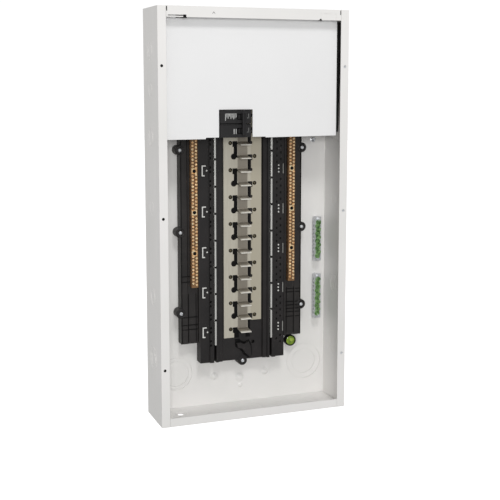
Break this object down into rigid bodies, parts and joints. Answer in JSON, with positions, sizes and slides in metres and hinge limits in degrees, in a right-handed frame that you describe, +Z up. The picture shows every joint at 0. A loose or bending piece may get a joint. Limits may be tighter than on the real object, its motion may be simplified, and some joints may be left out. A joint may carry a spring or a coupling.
{
  "type": "residential load center",
  "caption": "Surface-mount residential load center: steel box, plug-on breaker interior with neutral and ground bars, and a two-pole main breaker behind a white service barrier.",
  "frame": {"origin": "under the middle of the box, on its bottom edge", "axes": "+Z up, -Y out of the open front, +X to the right as seen from the front"},
  "size_m": [0.3634, 0.0986, 0.7513],
  "materials": {
    "painted_steel": "pale grey powder coat",
    "barrier_paint": "white powder coat, satin",
    "black_plastic": "black-brown moulded phenolic, fine texture",
    "breaker_case": "black moulded thermoset",
    "tinned_bus": "tin plate, warm satin",
    "tinned_bright": "bright tin plate",
    "brass_bar": "plated brass, satin",
    "copper": "bare copper",
    "aluminium": "extruded aluminium, satin",
    "zinc_screw": "zinc plate",
    "white_clip": "white nylon",
    "level_fluid": "yellow-green filled lens"
  },
  "bodies": {
    "root": {"barrier_bracket_left": "painted_steel", "barrier_bracket_right": "painted_steel", "bottom_end_wall": "painted_steel", "bus_bar_left": "tinned_bus", "bus_bar_right": "tinned_bus", "bus_base": "black_plastic", "enclosure_wrapper": "painted_steel", "ground_bar_lower": "aluminium", "ground_bar_screw_lower_high": "zinc_screw", "ground_bar_screw_lower_low": "zinc_screw", "ground_bar_screw_upper_high": "zinc_screw", "ground_bar_screw_upper_low": "zinc_screw", "ground_bar_upper": "aluminium", "interior_screw_bottom": "zinc_screw", "interior_screw_left_1": "zinc_screw", "interior_screw_left_2": "zinc_screw", "interior_screw_left_3": "zinc_screw", "interior_screw_right_1": "zinc_screw", "interior_screw_right_2": "zinc_screw", "interior_screw_right_3": "zinc_screw", "level_cup": "black_plastic", "level_vial": "level_fluid", "main_case_lower": "breaker_case", "main_case_upper": "breaker_case", "main_jaw_lower": "copper", "main_jaw_upper": "copper", "main_lug_lower": "aluminium", "main_lug_screw_lower": "zinc_screw", "main_lug_screw_upper": "zinc_screw", "main_lug_upper": "aluminium", "neutral_bar_left": "brass_bar", "neutral_bar_right": "brass_bar", "neutral_lug": "aluminium", "neutral_lug_screw": "zinc_screw", "neutral_rail_left": "tinned_bright", "neutral_rail_right": "tinned_bright", "neutral_strap": "tinned_bright", "neutral_support_left": "black_plastic", "neutral_support_right": "black_plastic", "rail_clip_left_1": "white_clip", "rail_clip_left_2": "white_clip", "rail_clip_left_3": "white_clip", "rail_clip_left_4": "white_clip", "rail_clip_left_5": "white_clip", "rail_clip_right_1": "white_clip", "rail_clip_right_2": "white_clip", "rail_clip_right_3": "white_clip", "rail_clip_right_4": "white_clip", "rail_clip_right_5": "white_clip", "service_barrier": "barrier_paint", "top_end_wall": "painted_steel"},
    "main_handle": {"main_handle_upper": "breaker_case", "main_handle_lower": "breaker_case", "main_handle_tie": "breaker_case"},
    "main_contact_upper": {"main_contact_arm_upper": "copper"},
    "main_contact_lower": {"main_contact_arm_lower": "copper"}
  },
  "joints": [
    {"name": "main_handle_throw", "type": "hinge", "parent": "root", "child": "main_handle", "pos_m": [-0.02362, -0.02845, 0.5461], "axis": [0, 0, 1], "range_deg": [-34, 0]},
    {"name": "main_contact_upper_swing", "type": "hinge", "parent": "root", "child": "main_contact_upper", "pos_m": [-0.04115, -0.01473, 0.5588], "axis": [0, 0, 1], "range_deg": [-17, 0]},
    {"name": "main_contact_lower_swing", "type": "hinge", "parent": "root", "child": "main_contact_lower", "pos_m": [-0.04115, -0.01473, 0.5334], "axis": [0, 0, 1], "range_deg": [-17, 0]}
  ],
  "couplings": [
    {"joint": "main_contact_upper_swing", "follows": "main_handle_throw", "ratio": 0.5},
    {"joint": "main_contact_lower_swing", "follows": "main_handle_throw", "ratio": 0.5}
  ]
}
